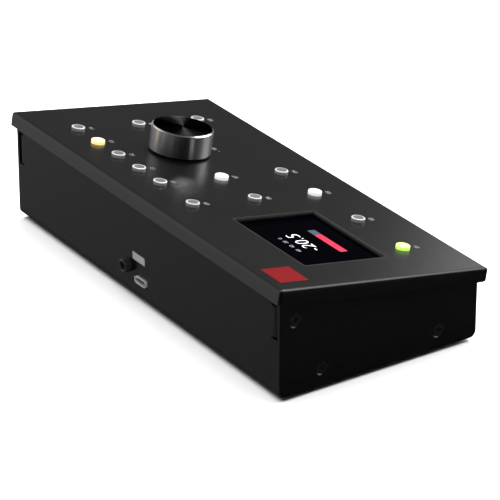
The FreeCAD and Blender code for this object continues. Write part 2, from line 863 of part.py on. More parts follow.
def make_switches():
    width = size["switch_width"]
    height = size["switch_height"]
    case = Part.makeBox(width, width, height, FreeCAD.Vector(-width / 2, -width / 2, 0))
    upright = [e for e in case.Edges if runs_along(e, Z_AXIS)]
    case = case.makeChamfer(width / 12, upright)
    bore = Part.makeCylinder(size["stem_diameter"] / 2 + size["stem_gap"], size["bore_depth"])
    bore.translate(FreeCAD.Vector(0, 0, height - size["bore_depth"]))
    spots = [(x, size[v]) for x, v in key_places]
    group("switch_bodies", case.cut(bore), [on_deck(x, v, board_top) for x, v in spots])

    dome = Part.makeCone(size["stem_diameter"] / 2, size["stem_diameter"] / 4, size["dome_height"])
    floor = board_top + height - size["bore_depth"]
    group("snap_domes", dome, [on_deck(x, v, floor) for x, v in spots])

    long = size["lamp_length"]
    wide = size["lamp_width"]
    lamp = Part.makeBox(wide, long, size["lamp_height"], FreeCAD.Vector(-wide / 2, -long / 2, 0))
    top = board_top + height
    group("key_lamps", lamp, [on_deck(x + size["lamp_offset"], v, top) for x, v in spots])


def make_keys():
    collar_top = "- cover_sheet - collar_gap"
    collar_low = collar_top + " - collar_thick"
    for number, (x, v) in enumerate(key_places, start=1):
        body = new_body("key_%02d" % number, on_deck(x, size[v]))
        profile = sketch_on(body, "XZ_Plane")
        rim = "cap_diameter / 2 - cap_bevel"
        dish = rim + " - cap_dish_rim"
        polygon(profile, [
            ("0", collar_low + " - stem_length"),
            ("stem_diameter / 2", collar_low + " - stem_length"),
            ("stem_diameter / 2", collar_low),
            ("collar_diameter / 2", collar_low),
            ("collar_diameter / 2", collar_top),
            ("cap_diameter / 2", collar_top),
            ("cap_diameter / 2", "cap_rise - cap_bevel"),
            (rim, "cap_rise"),
            (dish, "cap_rise"),
            (dish + " - cap_dish_depth", "cap_rise - cap_dish_depth"),
            ("0", "cap_rise - cap_dish_depth"),
        ])
        revolve(body, profile)


def make_encoder():
    place = on_deck(size["knob_x"], size["key_mid_v"])
    body = new_body("encoder_body", place)
    square = sketch_on(body, "XY_Plane", "- board_drop")
    half = "encoder_width / 2"
    rectangle(square, "- " + half, half, "- " + half, half)
    pad(body, square, "board_drop - cover_sheet - encoder_gap")
    bevel_edges(body, lambda p, e: runs_along(e, Z_AXIS), "encoder_width / 20")
    neck = sketch_on(body, "XY_Plane", "- cover_sheet - encoder_gap")
    circle(neck, "0", "0", "bushing_diameter")
    pad(body, neck, "bushing_top + cover_sheet + encoder_gap")
    bore = sketch_on(body, "XY_Plane", "bushing_top")
    circle(bore, "0", "0", "shaft_diameter + 2 * shaft_gap")
    pocket(body, bore, "bushing_top + shaft_bottom")

    washer = new_body("encoder_washer", place)
    ring = sketch_on(washer, "XY_Plane")
    circle(ring, "0", "0", "washer_diameter")
    circle(ring, "0", "0", "bushing_diameter + 2 * bushing_gap")
    pad(washer, ring, "washer_thick")

    nut = new_body("encoder_nut", place)
    hexagon = sketch_on(nut, "XY_Plane", "washer_thick")
    corners = []
    for i in range(6):
        reach = "nut_width / ( 2 * cos ( 30 ) )"
        corners.append(("%s * cos ( %d )" % (reach, 60 * i), "%s * sin ( %d )" % (reach, 60 * i)))
    polygon(hexagon, corners)
    circle(hexagon, "0", "0", "bushing_diameter + 2 * thread_gap")
    pad(nut, hexagon, "nut_thick")

    shaft = new_body("encoder_shaft", place)
    rod = sketch_on(shaft, "XY_Plane", "- shaft_bottom")
    circle(rod, "0", "0", "shaft_diameter")
    pad(shaft, rod, "shaft_top + shaft_bottom")
    flat = sketch_on(shaft, "XY_Plane", "flat_bottom")
    rectangle(flat, "shaft_flat", "shaft_diameter", "- shaft_diameter", "shaft_diameter")
    pocket(shaft, flat, "shaft_top", back=True)
    bevel_edges(
        shaft,
        lambda p, e: isinstance(e.Curve, Part.Circle) and near(e.Curve.Center.z, size["shaft_top"]),
        "shaft_diameter / 15",
    )
    make_knob(place)


def make_knob(place):
    body = new_body("volume_knob", place)
    disc = sketch_on(body, "XY_Plane", "knob_lift")
    circle(disc, "0", "0", "knob_diameter")
    pad(body, disc, "knob_top - knob_lift")
    bevel_edges(
        body,
        lambda p, e: isinstance(e.Curve, Part.Circle) and near(e.Curve.Center.z, size["knob_top"]),
        "knob_bevel",
    )
    bevel_edges(
        body,
        lambda p, e: isinstance(e.Curve, Part.Circle) and near(e.Curve.Center.z, size["knob_lift"]),
        "knob_bevel / 3",
    )
    cavity = sketch_on(body, "XY_Plane", "knob_lift")
    circle(cavity, "0", "0", "knob_cavity_diameter")
    pocket(body, cavity, "knob_cavity_depth", back=True)

    # D-shaped bore that slips over the flat of the shaft.
    bore = sketch_on(body, "XY_Plane", "knob_lift")
    radius = size["shaft_diameter"] / 2 + size["shaft_gap"]
    start = math.acos((size["shaft_flat"] + size["shaft_gap"]) / radius)
    round_part = Part.ArcOfCircle(
        Part.Circle(FreeCAD.Vector(0, 0, 0), Z_AXIS, radius), start, 2 * math.pi - start
    )
    arc = bore.addGeometry(round_part, False)
    across = round_part.StartPoint.x
    up = round_part.StartPoint.y
    chord = bore.addGeometry(
        Part.LineSegment(FreeCAD.Vector(across, -up, 0), FreeCAD.Vector(across, up, 0)), False
    )
    bore.addConstraint(Sketcher.Constraint("Coincident", arc, 2, chord, 1))
    bore.addConstraint(Sketcher.Constraint("Coincident", chord, 2, arc, 1))
    bore.addConstraint(Sketcher.Constraint("Vertical", chord))
    pin_point(bore, arc, 3, "0", "0")
    datum = bore.addConstraint(Sketcher.Constraint("Radius", arc, radius))
    bore.setExpression("Constraints[%d]" % datum, cell("shaft_diameter / 2 + shaft_gap"))
    flat = bore.addConstraint(Sketcher.Constraint("DistanceX", chord, 1, across))
    bore.setExpression("Constraints[%d]" % flat, cell("shaft_flat + shaft_gap"))
    pocket(body, bore, "shaft_top - knob_lift + shaft_gap", back=True)

    hole = sketch_on(body, "YZ_Plane", "knob_diameter / 2")
    circle(hole, "0", "grub_height", "screw_diameter + 2 * thread_gap")
    pocket(body, hole, "knob_diameter / 2 - shaft_flat")

    grub = new_body("knob_grub_screw", place)
    rod = sketch_on(grub, "YZ_Plane", "shaft_flat + shaft_gap")
    circle(rod, "0", "grub_height", "screw_diameter")
    pad(grub, rod, "grub_length")
    socket = sketch_on(grub, "YZ_Plane", "shaft_flat + shaft_gap + grub_length")
    corners = []
    for i in range(6):
        reach = "grub_socket / ( 2 * cos ( 30 ) )"
        corners.append((
            "%s * cos ( %d )" % (reach, 60 * i),
            "grub_height + %s * sin ( %d )" % (reach, 60 * i),
        ))
    polygon(socket, corners)
    pocket(grub, socket, "grub_socket")


def framed(sketch, margin):
    """Rectangle that lies round the display window by the margin."""
    rectangle(
        sketch,
        "window_left - " + margin, "window_right + " + margin,
        "window_front - " + margin, "window_rear + " + margin,
    )


def make_display():
    gasket = new_body("display_gasket", deck_place)
    ring = sketch_on(gasket, "XY_Plane", "- cover_sheet - gasket_thick")
    framed(ring, "glass_margin")
    framed(ring, "gasket_inset")
    pad(gasket, ring, "gasket_thick")

    glass = new_body("display_glass", deck_place)
    pane = sketch_on(glass, "XY_Plane", "- cover_sheet - gasket_thick - glass_thick")
    framed(pane, "glass_margin")
    pad(glass, pane, "glass_thick")

    panel = new_body("display_panel", deck_place)
    under = "- cover_sheet - gasket_thick - glass_thick - panel_thick"
    frame = sketch_on(panel, "XY_Plane", under)
    framed(frame, "panel_margin")
    pad(panel, frame, "panel_thick")

    header = new_body("display_header", deck_place)
    strip = sketch_on(header, "XY_Plane", "- board_drop")
    middle = "( window_left + window_right ) / 2"
    rectangle(
        strip,
        middle + " - header_length / 2", middle + " + header_length / 2",
        "header_v - header_width / 2", "header_v + header_width / 2",
    )
    pad(header, strip, "board_drop - cover_sheet - gasket_thick - glass_thick - panel_thick")


def centred(sketch, width, height):
    rectangle(sketch, "- " + width + " / 2", width + " / 2", "- " + height + " / 2", height + " / 2")


def make_usb():
    place = in_case(size["usb_x"], size["case_depth"] / 2 + size["usb_proud"], size["usb_z"])
    shell = new_body("usb_shell", place)
    outside = sketch_on(shell, "XZ_Plane")
    stadium(outside, "usb_width", "usb_height")
    pad(shell, outside, "usb_length")
    inside = sketch_on(shell, "XZ_Plane")
    stadium(inside, "( usb_width - 2 * usb_wall )", "( usb_height - 2 * usb_wall )")
    pocket(shell, inside, "usb_length - 2 * usb_wall", back=True)
    tongue = new_body("usb_tongue", place)
    blade = sketch_on(tongue, "XZ_Plane", "usb_length - 2 * usb_wall - tongue_length")
    centred(blade, "tongue_width", "tongue_thick")
    pad(tongue, blade, "tongue_length")


def make_jack():
    body = new_body("jack_body", in_case(size["jack_x"], size["case_depth"] / 2, size["jack_z"]))
    block = sketch_on(body, "XZ_Plane", "case_sheet + jack_gap")
    half = "jack_width / 2"
    foot = "usb_z - usb_height / 2 - jack_z"
    rectangle(block, "- " + half, half, foot, foot + " + jack_height")
    pad(body, block, "jack_length")
    bevel_edges(body, lambda p, e: runs_along(e, Y_AXIS), "jack_width / 12")
    nose = sketch_on(body, "XZ_Plane", "- jack_proud")
    circle(nose, "0", "0", "jack_nose_diameter")
    pad(body, nose, "jack_proud + case_sheet + jack_gap")
    bore = sketch_on(body, "XZ_Plane", "- jack_proud")
    circle(bore, "0", "0", "jack_bore_diameter")
    pocket(body, bore, "jack_bore_depth", back=True)
    bevel_edges(
        body,
        lambda p, e: isinstance(e.Curve, Part.Circle)
        and near(p.y, size["jack_proud"]),
        "jack_nose_diameter / 15",
    )


io_top = size["usb_z"] - size["usb_height"] / 2
io_rear = size["case_depth"] / 2 - size["case_sheet"] - size["io_board_gap"]
io_front = io_rear - size["io_board_length"]


def make_io_board():
    body = new_body("io_board", case_place)
    top = "usb_z - usb_height / 2"
    rear = "case_depth / 2 - case_sheet - io_board_gap"
    outline = sketch_on(body, "XY_Plane", top + " - board_thick")
    rectangle(outline, "io_board_left", "io_board_right", rear + " - io_board_length", rear)
    pad(body, outline, "board_thick")
    holes = sketch_on(body, "XY_Plane", top)
    for x in ("io_board_left + io_pillar_inset", "io_board_right - io_pillar_inset"):
        for y in (rear + " - io_board_length + io_pillar_inset", rear + " - io_pillar_inset"):
            circle(holes, x, y, "screw_diameter + 2 * screw_gap")
    pocket(body, holes, "4 * board_thick", both=True)

    inset = size["io_pillar_inset"]
    spots = []
    for x in (size["io_board_left"] + inset, size["io_board_right"] - inset):
        for y in (io_front + inset, io_rear - inset):
            spots.append((x, y))
    floor = size["case_sheet"]
    length = io_top - size["board_thick"] - floor
    up = [in_case(x, y, floor).multiply(DOWN) for x, y in spots]
    group("io_pillars", pillar(length), up)
    shank = pan_screw()
    group("io_screws", shank, [in_case(x, y, io_top) for x, y in spots])


def make_cable():
    """Flat cable from the rear board up to the main board, with a plug at each end."""
    radius = size["cable_radius"]
    lead = size["cable_lead"]
    lean = math.radians(size["cable_lean"])
    x = size["plug_x"]
    start_y = io_front + size["plug_inset"]
    start_z = io_top + size["plug_height"]

    def point(y, z):
        return FreeCAD.Vector(x, y, z)

    def step(origin, angle, length):
        return point(origin.y - math.sin(angle) * length, origin.z + math.cos(angle) * length)

    def arc(origin, begin, finish):
        """Arc from the origin whose heading turns from begin to finish."""
        side = 1 if finish > begin else -1
        centre = step(origin, begin + side * math.pi / 2, radius)
        middle = (begin + finish) / 2
        via = step(centre, middle - side * math.pi / 2, radius)
        end = step(centre, finish - side * math.pi / 2, radius)
        return Part.Arc(origin, via, end).toShape(), end

    def drop(p):
        return -p.y * math.sin(tilt) + (p.z - size["deck_height"]) * math.cos(tilt)

    first = point(start_y, start_z)
    second = step(first, 0.0, lead)
    bend_one, third = arc(second, 0.0, lean)
    goal = board_under - size["plug_height"]
    bend_end = arc(third, lean, tilt)[1]
    short = goal - lead - drop(bend_end)
    run = short / math.cos(lean - tilt)
    fourth = step(third, lean, run)
    bend_two, fifth = arc(fourth, lean, tilt)
    sixth = step(fifth, tilt, lead)
    path = Part.Wire([
        Part.makeLine(first, second),
        bend_one,
        Part.makeLine(third, fourth),
        bend_two,
        Part.makeLine(fifth, sixth),
    ])
    half_width = size["cable_width"] / 2
    half_thick = size["cable_thick"] / 2
    corners = [
        FreeCAD.Vector(x - half_width, start_y - half_thick, start_z),
        FreeCAD.Vector(x + half_width, start_y - half_thick, start_z),
        FreeCAD.Vector(x + half_width, start_y + half_thick, start_z),
        FreeCAD.Vector(x - half_width, start_y + half_thick, start_z),
    ]
    section = Part.makePolygon(corners + corners[:1])
    strip = path.makePipeShell([section], True, False)
    print("cable", round(strip.Volume, 1), "of", round(path.Length * 4 * half_width * half_thick, 1))
    strip.Placement = case_place.multiply(strip.Placement)
    cable = doc.addObject("Part::Feature", "link_cable")
    cable.Label = "link_cable"
    cable.Shape = strip
    nodes.append(cable)

    lower = new_body("cable_plug_lower", in_case(x, start_y, io_top))
    block = sketch_on(lower, "XY_Plane")
    centred(block, "plug_length", "plug_width")
    pad(lower, block, "plug_height")
    v = sixth.y * math.cos(tilt) + (sixth.z - size["deck_height"]) * math.sin(tilt)
    upper = new_body("cable_plug_upper", on_deck(x, v, board_under))
    block = sketch_on(upper, "XY_Plane", "- plug_height")
    centred(block, "plug_length", "plug_width")
    pad(upper, block, "plug_height")


make_tray()
make_panel("end_panel_left", -1)
make_panel("end_panel_right", 1)
make_cover()
make_fasteners()
make_feet()
make_main_board()
make_switches()
make_keys()
make_encoder()
make_display()
make_usb()
make_jack()
make_io_board()
make_cable()
doc.recompute()

for item in doc.Objects:
    if "Invalid" in item.State or "Error" in item.State:
        raise RuntimeError("%s did not recompute" % item.Label)
for node in nodes:
    if node.Shape.isNull() or not node.Shape.isValid() or not node.Shape.Solids:
        raise RuntimeError("%s has no valid shape" % node.Label)

os.makedirs("parts", exist_ok=True)
whole = Part.makeCompound([node.Shape for node in nodes])
box = whole.BoundBox
print("box", [round(v, 3) for v in (box.XMin, box.XMax, box.YMin, box.YMax, box.ZMin, box.ZMax)])
for node in nodes:
    node.Shape.exportStep(os.path.join("parts", node.Label + ".step"))
print("nodes", len(nodes), "solids", sum(len(node.Shape.Solids) for node in nodes))
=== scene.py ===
# %% [markdown]
# A studio monitor controller stands on a desk: a folded black steel case with lit keys, a display
# window and a turned knob. The CAD model gives every piece its true size and place. It could be
# drawn again from nothing in Blender, but the two models would then drift apart. So this script
# loads the CAD pieces as a fixed frame, and gives each visible surface the finish of the real thing.

# %% Load the frame
import bpy
import bmesh
import math
from mathutils import Matrix, Vector


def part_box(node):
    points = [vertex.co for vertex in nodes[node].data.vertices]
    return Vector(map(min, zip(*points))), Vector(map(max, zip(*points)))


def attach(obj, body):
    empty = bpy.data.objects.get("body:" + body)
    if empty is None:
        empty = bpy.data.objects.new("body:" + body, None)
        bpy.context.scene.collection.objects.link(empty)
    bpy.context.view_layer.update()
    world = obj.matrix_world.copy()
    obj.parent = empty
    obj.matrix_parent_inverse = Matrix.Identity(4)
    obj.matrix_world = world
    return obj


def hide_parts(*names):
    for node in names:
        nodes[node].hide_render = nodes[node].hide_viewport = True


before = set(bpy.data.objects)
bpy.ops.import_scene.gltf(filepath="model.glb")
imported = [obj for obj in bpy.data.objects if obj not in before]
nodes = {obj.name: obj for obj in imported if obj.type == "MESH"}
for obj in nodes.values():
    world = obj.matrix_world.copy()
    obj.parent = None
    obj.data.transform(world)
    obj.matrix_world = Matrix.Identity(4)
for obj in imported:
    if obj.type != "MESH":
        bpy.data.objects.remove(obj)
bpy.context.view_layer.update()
mm = 0.001

# %% [markdown]
# The deck is the sloped top sheet that carries the keys and the knob. A piece on it could be
# modelled in its tilted place, but every radius and height would then be skewed. So each is
# modelled lying flat at the deck's own origin, where X runs to the user's right, Y up the slope and
# Z out of the deck, and one matrix then sets it down.

# %% The deck's place and the volume knob's place
deck_tilt = math.radians(10)
deck_origin = Vector((0, 0.322, 42.6)) * mm
deck = Matrix.Translation(deck_origin) @ Matrix.Rotation(deck_tilt, 4, "X")
deck_slope = deck.to_3x3() @ Vector((0, 1, 0))
deck_normal = deck.to_3x3() @ Vector((0, 0, 1))
knob_spot = (44.25, 1.55)


def on_deck(x, v, w=0.0):
    """A place on the deck in mm: x to the right, v up the slope and w above the sheet."""
    return deck @ Matrix.Translation(Vector((x, v, w)) * mm)


print("deck normal", [round(c, 4) for c in deck_normal])

# %% [markdown]
# A photo is matched by a camera with the same place, direction and focal length. Turning the view
# by eye gets near, but one pixel is half a millimetre on the deck, so these values come from a fit
# of the case's straight edges. The camera stands 1.3 m away, behind the controller on its left, and
# looks down at the corner next to the sockets through a long lens.

# %% Camera
camera_place = Vector((-976.1, 647.04, 589.18)) * mm
camera_angles = (63.787, -0.063, -123.736)
bpy.ops.object.camera_add(location=camera_place)
camera = bpy.context.object
camera.name = "photo_camera"
camera.rotation_euler = [math.radians(angle) for angle in camera_angles]
camera.data.lens = 219.31
camera.data.sensor_width = 36.0
camera.data.clip_start = 0.05
camera.data.clip_end = 50
bpy.context.scene.camera = camera
print("camera", camera.name, "lens", camera.data.lens)

# %% [markdown]
# A product photo is taken on a pale table. The table is a plain sheet, and it isn't part of the
# object. Black glossy things are lit so that they mirror dark surroundings, so the sheet is kept
# out of their reflections, as black cards round the object do in a studio.

# %% Table
table_side = 6
bpy.ops.object.select_all(action="DESELECT")
bpy.ops.mesh.primitive_plane_add(size=table_side)
table = bpy.context.object
table.name = "studio_table"
table.visible_glossy = False
print("table", table.name)

# %% [markdown]
# One large soft lamp overhead lights the table evenly. It could also light the controller's gloss,
# but then the whole deck would turn grey, so it is left out of reflections. Smaller soft boxes
# are there for what the metal and the satin paint mirror: one each side of the camera's line of
# sight makes the two upright streaks on the knob, a high one makes the wedge on its face, and the
# narrow beam of a low one, blurred by the paint, brightens the deck towards its near left corner.

# %% Lamps


def add_lamp(name, place, target, width, height, watts, mirrored=True, beam=180):
    """One rectangular soft box that faces a target point and is never seen itself."""
    bpy.ops.object.light_add(type="AREA", location=place)
    lamp = bpy.context.object
    lamp.name = name
    lamp.data.shape = "RECTANGLE"
    lamp.data.size = width
    lamp.data.size_y = height
    lamp.data.energy = watts
    lamp.data.spread = math.radians(beam)
    lamp.visible_glossy = mirrored
    lamp.visible_camera = False
    direction = Vector(target) - Vector(place)
    lamp.rotation_euler = direction.to_track_quat("-Z", "Y").to_euler()
    print("lamp", name, watts)


case_middle = (0, 0, 0.04)
knob_middle = (0.04, 0, 0.05)
near_corner = (-0.1, -0.05, 0.04)
add_lamp("lamp_table", (0, 0, 1.8), (0, 0, 0), 3.0, 3.0, 118, mirrored=False)
add_lamp("box_left", (1.10, 0.62, 0.65), case_middle, 1.3, 1.3, 3)
add_lamp("box_right", (-0.22, -1.25, 0.70), case_middle, 1.1, 1.4, 15)
add_lamp("box_high", (0.45, -0.75, 1.25), knob_middle, 0.4, 0.3, 24)
add_lamp("box_corner", (0.47, -0.78, 0.27), near_corner, 0.32, 0.30, 0.0165, beam=30)

# %% [markdown]
# The air round the set is dim. A plain grey would do for light, but satin paint mirrors it, and the
# photo's rear wall has a faint sheen while its end plate stays nearly black. So three smooth ramps,
# one sideways and two by height, are multiplied into the strength of the surroundings.

# %% Directions of the surroundings
world = bpy.data.worlds.new("studio_air")
bpy.context.scene.world = world
world.use_nodes = True
air = world.node_tree
bright_side = (0.77, 0.64, 0)
air_place = air.nodes.new("ShaderNodeTexCoord")
air_side = air.nodes.new("ShaderNodeVectorMath")
air_side.operation = "DOT_PRODUCT"
air_side.inputs[1].default_value = bright_side
air.links.new(air_place.outputs["Generated"], air_side.inputs[0])
air_level = air.nodes.new("ShaderNodeSeparateXYZ")
air.links.new(air_place.outputs["Generated"], air_level.inputs["Vector"])
print("bright side", bright_side)

# %% Strength of the surroundings


def air_ramp(source, low, high, strength_low, strength_high):
    """A smooth change of strength between two directions."""
    ramp = air.nodes.new("ShaderNodeMapRange")
    ramp.interpolation_type = "SMOOTHSTEP"
    ramp.inputs["From Min"].default_value = low
    ramp.inputs["From Max"].default_value = high
    ramp.inputs["To Min"].default_value = strength_low
    ramp.inputs["To Max"].default_value = strength_high
    air.links.new(source, ramp.inputs["Value"])
    return ramp.outputs["Result"]


air_glow = air_ramp(air_side.outputs["Value"], -0.3, 1.0, 0.03, 0.68)
for height_ramp in (
        air_ramp(air_level.outputs["Z"], -0.55, -0.15, 0.12, 1.0),
        air_ramp(air_level.outputs["Z"], -0.1, 0.3, 1.0, 0.23)):
    product = air.nodes.new("ShaderNodeMath")
    product.operation = "MULTIPLY"
    air.links.new(air_glow, product.inputs[0])
    air.links.new(height_ramp, product.inputs[1])
    air_glow = product.outputs["Value"]
backdrop = air.nodes["Background"]
backdrop.inputs["Color"].default_value = (1, 1, 1, 1)
air.links.new(air_glow, backdrop.inputs["Strength"])
bpy.context.scene.view_settings.view_transform = "Standard"
print("surroundings", world.name)

# %% [markdown]
# Nothing made is perfectly even: paint, plastic and metal have a fine grain, and a slower cloud of
# handling and polish over it. Each material could have its own noise, but then a change of mind
# means twenty edits. So the effect is one node group with its scales as inputs, and each material
# places it with values of its own.

# %% The shared grain


def new_group(name, inputs, outputs):
    """A shader node group with number sockets, and its input and output nodes."""
    group = bpy.data.node_groups.new(name, "ShaderNodeTree")
    for label, value in inputs:
        socket = group.interface.new_socket(label, in_out="INPUT", socket_type="NodeSocketFloat")
        socket.default_value = value
    for label in outputs:
        group.interface.new_socket(label, in_out="OUTPUT", socket_type="NodeSocketFloat")
    return group, group.nodes.new("NodeGroupInput"), group.nodes.new("NodeGroupOutput")


grain_group, grain_in, grain_out = new_group(
    "surface_grain", [("Scale", 900.0), ("Cloud Scale", 25.0)], ["Grain", "Cloud"])
grain_place = grain_group.nodes.new("ShaderNodeTexCoord")
for wanted, scale_name, detail in (("Grain", "Scale", 2.0), ("Cloud", "Cloud Scale", 4.0)):
    noise = grain_group.nodes.new("ShaderNodeTexNoise")
    noise.inputs["Detail"].default_value = detail
    grain_group.links.new(grain_place.outputs["Object"], noise.inputs["Vector"])
    grain_group.links.new(grain_in.outputs[scale_name], noise.inputs["Scale"])
    grain_group.links.new(noise.outputs["Fac"], grain_out.inputs[wanted])
print("group", grain_group.name)

# %% [markdown]
# A mask is no finish yet. It has to reach the shader as a slightly changing colour, a changing
# roughness and a height. Every material here needs the same three, so each is a small helper.

# %% From a mask to the shader


def vary_color(tree, mask, color, spread):
    """A base colour that swings a little darker and lighter with the mask."""
    tint = tree.nodes.new("ShaderNodeMix")
    tint.data_type = "RGBA"
    tint.inputs["A"].default_value = (*[c * (1 - spread) for c in color], 1)
    tint.inputs["B"].default_value = (*[min(1, c * (1 + spread)) for c in color], 1)
    tree.links.new(mask, tint.inputs["Factor"])
    tree.links.new(tint.outputs["Result"], tree.nodes["Principled BSDF"].inputs["Base Color"])


def vary_roughness(tree, mask, low, high):
    """A roughness that follows the mask between two values."""
    rough = tree.nodes.new("ShaderNodeMapRange")
    rough.inputs["To Min"].default_value = low
    rough.inputs["To Max"].default_value = high
    tree.links.new(mask, rough.inputs["Value"])
    tree.links.new(rough.outputs["Result"], tree.nodes["Principled BSDF"].inputs["Roughness"])


def raise_surface(tree, mask, strength, distance):
    """A bump whose height is the mask."""
    height = tree.nodes.new("ShaderNodeBump")
    height.inputs["Strength"].default_value = strength
    height.inputs["Distance"].default_value = distance
    tree.links.new(mask, height.inputs["Height"])
    tree.links.new(height.outputs["Normal"], tree.nodes["Principled BSDF"].inputs["Normal"])


print("helpers", vary_color.__name__, vary_roughness.__name__, raise_surface.__name__)

# %% A material with grain
grain_tint = 0.12
grain_height = 0.2 * mm


def grainy(name, color, roughness, spread=0.08, metallic=0.0, bump=0.02, scale=900.0, **sockets):
    """A Principled material whose colour, roughness and height come from the shared grain."""
    material = bpy.data.materials.new(name)
    material.use_nodes = True
    tree = material.node_tree
    shader = tree.nodes["Principled BSDF"]
    shader.inputs["Metallic"].default_value = metallic
    for label, value in sockets.items():
        shader.inputs[label.replace("_", " ")].default_value = value
    grain = tree.nodes.new("ShaderNodeGroup")
    grain.node_tree = grain_group
    grain.inputs["Scale"].default_value = scale
    vary_color(tree, grain.outputs["Cloud"], color, grain_tint)
    vary_roughness(tree, grain.outputs["Cloud"], max(0.0, roughness - spread), roughness + spread)
    raise_surface(tree, grain.outputs["Grain"], bump, grain_height)
    return material


print("material maker", grainy.__name__)

# %% [markdown]
# The case is satin black powder coat on steel. A darker or lighter grey would be the easy knob to
# turn, but the photo's deck is nearly black and gets all its brightness from gloss: it shows soft
# reflections of the keys and the knob. So the colour is very dark, the roughness moderate and the
# grain very fine. The countersunk screws are blackened, a little duller than the paint.

# %% Finishes of the case and its screws
case_paint = grainy("case_paint", (0.0025, 0.0025, 0.0026), 0.24, 0.02, bump=0.04, scale=3500)
screw_black = grainy("screw_black", (0.005, 0.005, 0.0052), 0.35, bump=0.05)
steel = grainy("plated_steel", (0.55, 0.55, 0.54), 0.3, metallic=1.0)
rubber = grainy("foot_rubber", (0.02, 0.02, 0.02), 0.75, bump=0.3, scale=1500)
print("finishes", case_paint.name, screw_black.name, steel.name, rubber.name)

# %% [markdown]
# Where the sheet was cut for the display, its edge catches the light as a thin line. That line is
# a painted highlight: the lid's colour turns light grey on the cut faces. A thin frame could be
# modelled there, but the real lid has none. A mask in Object coordinates does it instead: the lid
# has no other surface inside the window's rectangle, measured in the deck's own directions.

# %% Distances and comparisons in a material
window_low = Vector((-84.5, -17.1)) * mm
window_high = Vector((-31.9, 24.7)) * mm
# painted highlight: a light grey that stands in for the light caught by the window's cut edge
window_edge_highlight_grey = (0.055, 0.055, 0.056, 1)


def compare(tree, operation, first, second):
    """A math node's result. Each of the two values is a number or a socket."""
    node = tree.nodes.new("ShaderNodeMath")
    node.operation = operation
    for socket, value in zip(node.inputs, (first, second)):
        if isinstance(value, float):
            socket.default_value = value
        else:
            tree.links.new(value, socket)
    return node.outputs["Value"]


def along_axis(tree, place, direction, start):
    """Distance of the surface point from a plane through a start point."""
    local = tree.nodes.new("ShaderNodeVectorMath")
    local.operation = "SUBTRACT"
    local.inputs[1].default_value = start
    tree.links.new(place, local.inputs[0])
    dot = tree.nodes.new("ShaderNodeVectorMath")
    dot.operation = "DOT_PRODUCT"
    dot.inputs[1].default_value = direction
    tree.links.new(local.outputs["Vector"], dot.inputs[0])
    return dot.outputs["Value"]


print("window", [round(side / mm, 1) for side in window_high - window_low], "mm")

# %% Paint of the lid with a painted highlight on its cut edge
lid_paint = case_paint.copy()
lid_paint.name = "lid_paint"
lid_tree = lid_paint.node_tree
lid_place = lid_tree.nodes.new("ShaderNodeTexCoord").outputs["Object"]
across = along_axis(lid_tree, lid_place, (1, 0, 0), (0, 0, 0))
up_slope = along_axis(lid_tree, lid_place, deck_slope, deck_origin)
in_window = compare(lid_tree, "GREATER_THAN", across, window_low.x)
for operation, value, limit in (
        ("LESS_THAN", across, window_high.x),
        ("GREATER_THAN", up_slope, window_low.y),
        ("LESS_THAN", up_slope, window_high.y)):
    inside = compare(lid_tree, operation, value, limit)
    in_window = compare(lid_tree, "MULTIPLY", in_window, inside)
# painted highlight: inside the window's rectangle the lid's colour turns light grey, for the light
# on the cut edge
edge_highlight_mix = lid_tree.nodes.new("ShaderNodeMix")
edge_highlight_mix.data_type = "RGBA"
edge_highlight_mix.inputs["B"].default_value = window_edge_highlight_grey
lid_color = lid_tree.nodes["Principled BSDF"].inputs["Base Color"]
lid_tree.links.new(lid_color.links[0].from_socket, edge_highlight_mix.inputs["A"])
lid_tree.links.new(in_window, edge_highlight_mix.inputs["Factor"])
lid_tree.links.new(edge_highlight_mix.outputs["Result"], lid_color)
print("lid paint", lid_paint.name)

# %% [markdown]
# Boards, switches, lamps and the flat cable are under the lid. They could keep one grey, since no
# photo shows them, but the pieces are also shown one by one, so each has the finish that such a
# part has: green lacquer, black plastic, yellowish lamp lenses, grey cable skin and black foam.

# %% Finishes of the inside
board_green = grainy("board_lacquer", (0.015, 0.12, 0.05), 0.28, bump=0.05)
black_plastic = grainy("black_plastic", (0.02, 0.02, 0.021), 0.45, bump=0.1)
lamp_lens = grainy("lamp_lens", (0.8, 0.75, 0.55), 0.15)
cable_skin = grainy("cable_skin", (0.3, 0.3, 0.31), 0.5, bump=0.1)
foam = grainy("gasket_foam", (0.015, 0.015, 0.015), 0.85, bump=0.5, scale=1200)
print("inside", board_green.name, black_plastic.name, lamp_lens.name, cable_skin.name, foam.name)

# %% [markdown]
# The data socket has a plated steel shell, and the jack socket is glossy black plastic. The display
# is covered with black glass. Clear glass over a black sheet would mirror twice, so it is one dark
# surface, with a low index because a coated display glass mirrors less than plain glass.

# %% Finishes of the sockets and the display glass
socket_steel = grainy("socket_steel", (0.72, 0.71, 0.69), 0.25, metallic=0.6, bump=0.03)
jack_black = grainy("jack_black", (0.012, 0.012, 0.013), 0.22, bump=0.03)
glass_black = grainy("glass_black", (0.0003, 0.0003, 0.0008), 0.05, 0.02, bump=0.0, IOR=1.06)
print("finishes", socket_steel.name, jack_black.name, glass_black.name)

# %% [markdown]
# The finishes go onto the CAD nodes by name. A node's shape and place stay as they are: only its
# material slots change. What the list doesn't name is bare plated steel, such as the pillars.

# %% Dress the nodes
finishes = {
    "top_cover": lid_paint, "base_tray": case_paint,
    "end_panel_left": case_paint, "end_panel_right": case_paint,
    "end_screws": screw_black, "feet": rubber, "knob_grub_screw": screw_black,
    "main_board": board_green, "io_board": board_green, "board_chips": black_plastic,
    "switch_bodies": black_plastic, "key_lamps": lamp_lens, "link_cable": cable_skin,
    "cable_plug_lower": black_plastic, "cable_plug_upper": black_plastic,
    "display_header": black_plastic, "usb_tongue": black_plastic,
    "display_gasket": foam, "display_glass": glass_black,
    "usb_shell": socket_steel, "jack_body": jack_black,
}


